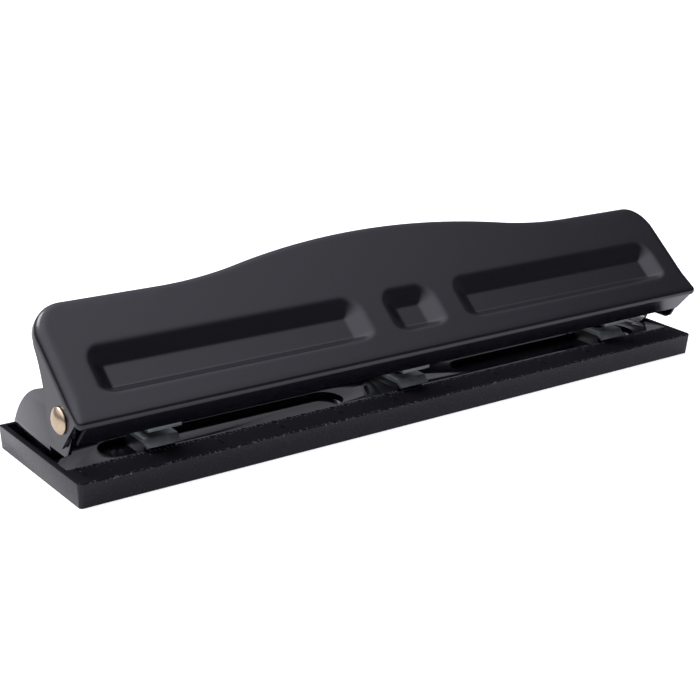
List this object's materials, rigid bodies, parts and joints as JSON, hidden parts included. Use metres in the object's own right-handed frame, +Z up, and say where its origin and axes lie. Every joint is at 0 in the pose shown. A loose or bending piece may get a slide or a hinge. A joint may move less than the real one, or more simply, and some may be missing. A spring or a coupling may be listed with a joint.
{
  "type": "three hole punch",
  "caption": "Hand-operated paper punch with a long pressed steel lever over sprung punch pins on a steel bed in a chip tray.",
  "frame": {"origin": "centre of the footprint at the level of the rubber feet's undersides", "axes": "+X along the punch to the right as seen from the paper side, +Y from the paper side to the back, +Z up"},
  "size_m": [0.2948, 0.058, 0.0632],
  "materials": {
    "black_enamel": "satin baked black enamel on pressed steel",
    "gloss_enamel": "gloss black enamel on the steel bed",
    "tray_plastic": "moulded black plastic, satin, with a fine texture",
    "foot_rubber": "matt",
    "zinc_plate": "zinc plated sheet steel",
    "pin_steel": "ground and hardened",
    "spring_steel": "bright wire",
    "block_steel": "oiled",
    "nickel_rivet": "nickel plated"
  },
  "bodies": {
    "chip_tray": {"chip_tray": "tray_plastic", "rubber_feet": "foot_rubber"},
    "frame": {"base_plate": "gloss_enamel", "paper_rail": "gloss_enamel", "rail_rivets": "block_steel", "head_rivets": "zinc_plate", "pivot_rivet_left": "nickel_rivet", "pivot_rivet_right": "nickel_rivet", "punch_head_left": "zinc_plate", "punch_head_centre": "zinc_plate", "punch_head_right": "zinc_plate", "die_block_left": "block_steel", "die_block_centre": "block_steel", "die_block_right": "block_steel", "return_spring_left": "spring_steel", "return_spring_centre": "spring_steel", "return_spring_right": "spring_steel"},
    "handle": {"handle_shell": "black_enamel"},
    "pin_left": {"punch_pin_left": "pin_steel", "spring_clip_left": "zinc_plate"},
    "pin_centre": {"punch_pin_centre": "pin_steel", "spring_clip_centre": "zinc_plate"},
    "pin_right": {"punch_pin_right": "pin_steel", "spring_clip_right": "zinc_plate"}
  },
  "joints": [
    {"name": "tray_release", "type": "slide", "parent": "chip_tray", "child": "frame", "axis": [0, 0, 1], "range_m": [0, 0.02]},
    {"name": "handle_press", "type": "hinge", "parent": "frame", "child": "handle", "pos_m": [0, -0.0167, 0.0264], "axis": [-1, 0, 0], "range_deg": [0, 32], "stiffness_Nm_per_rad": 0.5, "springref_deg": -34.38},
    {"name": "pin_left_stroke", "type": "slide", "parent": "frame", "child": "pin_left", "axis": [0, 0, -1], "range_m": [0, 0.006], "deforming": ["return_spring_left"]},
    {"name": "pin_centre_stroke", "type": "slide", "parent": "frame", "child": "pin_centre", "axis": [0, 0, -1], "range_m": [0, 0.006], "deforming": ["return_spring_centre"]},
    {"name": "pin_right_stroke", "type": "slide", "parent": "frame", "child": "pin_right", "axis": [0, 0, -1], "range_m": [0, 0.006], "deforming": ["return_spring_right"]}
  ],
  "couplings": [
    {"joint": "pin_left_stroke", "follows": "handle_press", "m_per_rad": 0.010027},
    {"joint": "pin_centre_stroke", "follows": "handle_press", "m_per_rad": 0.010027},
    {"joint": "pin_right_stroke", "follows": "handle_press", "m_per_rad": 0.010027}
  ]
}
